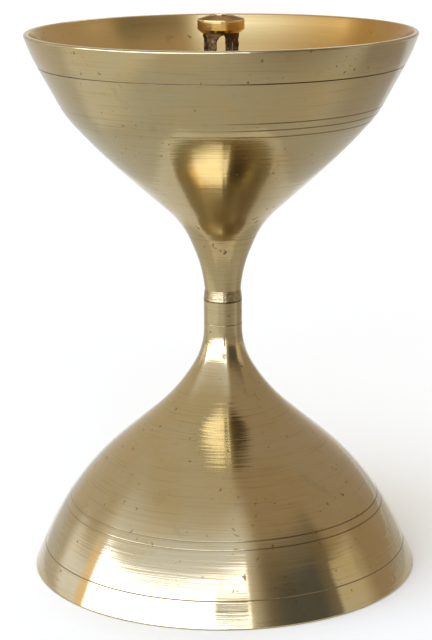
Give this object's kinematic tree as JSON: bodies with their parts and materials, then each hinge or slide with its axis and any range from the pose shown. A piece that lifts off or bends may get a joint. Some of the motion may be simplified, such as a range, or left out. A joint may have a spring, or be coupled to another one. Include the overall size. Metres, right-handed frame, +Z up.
{
  "type": "oil lamp",
  "caption": "Hourglass-shaped turned brass oil lamp: a hollow bell foot, a slim screwed neck, a funnel bowl for oil and a slotted centre burner whose cap holds the wick upright",
  "frame": {"origin": "centre of the ring on which the foot stands, on the lamp's axis", "axes": "+Z up along the lamp's axis, +X to the right and +Y away from the viewer in the picture"},
  "size_m": [0.1064, 0.1064, 0.1523],
  "materials": {
    "turned_brass": "satin, turned on a lathe",
    "threaded_brass": "machined",
    "cast_brass": "dark, as cast",
    "polished_brass": "polished"
  },
  "bodies": {
    "foot": {"foot": "turned_brass"},
    "neck_stud": {"neck_stud": "threaded_brass"},
    "bowl": {"bowl": "turned_brass"},
    "post_stud": {"post_stud": "threaded_brass"},
    "wick_post": {"wick_post": "cast_brass"},
    "wick_cap": {"wick_cap": "polished_brass"}
  },
  "joints": [
    {"name": "bowl_rise", "type": "slide", "parent": "foot", "child": "neck_stud", "axis": [0, 0, 1], "range_m": [0, 0.008]},
    {"name": "bowl_unscrew", "type": "hinge", "parent": "neck_stud", "child": "bowl", "pos_m": [0, 0, 0.075], "axis": [0, 0, 1], "range_deg": [0, 2880]},
    {"name": "burner_rise", "type": "slide", "parent": "bowl", "child": "post_stud", "axis": [0, 0, 1], "range_m": [0, 0.006]},
    {"name": "burner_unscrew", "type": "hinge", "parent": "post_stud", "child": "wick_post", "pos_m": [0, 0, 0.104], "axis": [0, 0, 1], "range_deg": [0, 2700]},
    {"name": "cap_lift", "type": "slide", "parent": "wick_post", "child": "wick_cap", "axis": [0, 0, 1], "range_m": [0, 0.01]}
  ],
  "couplings": [
    {"joint": "bowl_rise", "follows": "bowl_unscrew", "m_per_rad": 0.00015915},
    {"joint": "burner_rise", "follows": "burner_unscrew", "m_per_rad": 0.00012732}
  ]
}
